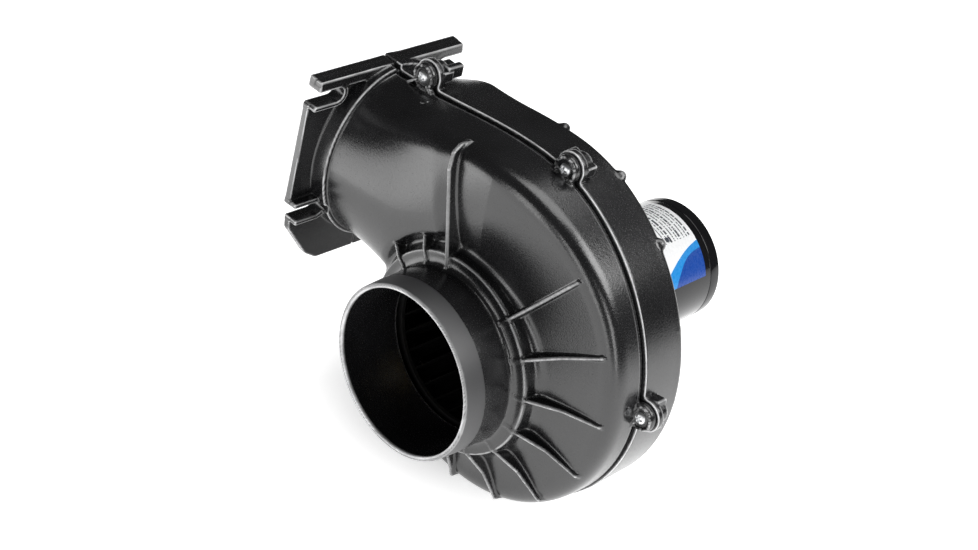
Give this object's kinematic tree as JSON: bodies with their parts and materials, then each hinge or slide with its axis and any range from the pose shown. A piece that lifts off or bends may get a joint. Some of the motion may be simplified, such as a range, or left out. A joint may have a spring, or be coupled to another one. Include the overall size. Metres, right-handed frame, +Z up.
{
  "type": "combustion fan",
  "caption": "Centrifugal blower: black two-piece scroll housing with a round hose inlet, a slotted outlet flange, a forward-curved impeller and a round brushed motor on its back.",
  "frame": {"origin": "middle of the outlet, on the outer face of the mounting flange, in the plane where the two housing halves meet", "axes": "the flange's outer face looks toward -X; +Y runs along the shaft from the inlet to the motor; +Z is up, toward the side of the scroll that the outlet leaves from"},
  "size_m": [0.2457, 0.2274, 0.2357],
  "materials": {
    "housing_plastic": "black glass-filled plastic, semi-gloss with a fine grain",
    "impeller_plastic": "black moulded plastic, satin",
    "steel": "bright zinc-plated steel",
    "black_paint": "gloss black paint",
    "bronze": "sintered bronze, dull",
    "brass": "satin brass",
    "copper": "enamelled copper wire and copper bars",
    "lamination": "stacked steel sheet",
    "ferrite": "dark grey ceramic magnet",
    "phenolic": "brown phenolic sheet",
    "carbon": "dark grey carbon",
    "rubber": "black rubber",
    "nylon": "natural nylon",
    "label": "white printed film with a blue stripe"
  },
  "bodies": {
    "stator": {"inlet_spigot": "housing_plastic", "front_housing": "housing_plastic", "flange_front": "housing_plastic", "rear_housing": "housing_plastic", "flange_rear": "housing_plastic", "housing_screw_1": "steel", "housing_nut_1": "steel", "housing_screw_2": "steel", "housing_nut_2": "steel", "housing_screw_3": "steel", "housing_nut_3": "steel", "housing_screw_4": "steel", "housing_nut_4": "steel", "housing_screw_5": "steel", "housing_nut_5": "steel", "motor_gasket": "rubber", "motor_front_cap": "black_paint", "motor_can": "black_paint", "motor_rear_cap": "black_paint", "motor_label": "label", "lead_grommet": "rubber", "motor_screw_1": "steel", "motor_screw_2": "steel", "motor_screw_3": "steel", "through_bolt_1": "steel", "through_bolt_2": "steel", "front_bush": "bronze", "rear_bush": "bronze", "thrust_washer_front": "nylon", "thrust_washer_rear": "nylon", "magnet_left": "ferrite", "magnet_right": "ferrite", "brush_plate": "phenolic", "brush_holder_top": "brass", "brush_spring_top": "steel", "brush_holder_bottom": "brass", "brush_spring_bottom": "steel"},
    "rotor": {"impeller_wheel": "impeller_plastic", "impeller_hub": "brass", "hub_set_screw": "steel", "motor_shaft": "steel", "armature_core": "lamination", "armature_winding_front": "copper", "armature_winding_rear": "copper", "commutator": "copper"},
    "brush_top_body": {"brush_top": "carbon"},
    "brush_bottom_body": {"brush_bottom": "carbon"}
  },
  "joints": [
    {"name": "rotor_spin", "type": "hinge", "parent": "stator", "child": "rotor", "pos_m": [0.1257, 0, -0.057], "axis": [0, -1, 0], "continuous": true},
    {"name": "brush_slide_top", "type": "slide", "parent": "stator", "child": "brush_top_body", "axis": [0, 0, 1], "range_m": [0, 0.0035], "stiffness_N_per_m": 120, "springref_m": -0.006, "deforming": ["brush_spring_top"]},
    {"name": "brush_slide_bottom", "type": "slide", "parent": "stator", "child": "brush_bottom_body", "axis": [0, 0, -1], "range_m": [0, 0.0035], "stiffness_N_per_m": 120, "springref_m": -0.006, "deforming": ["brush_spring_bottom"]}
  ]
}
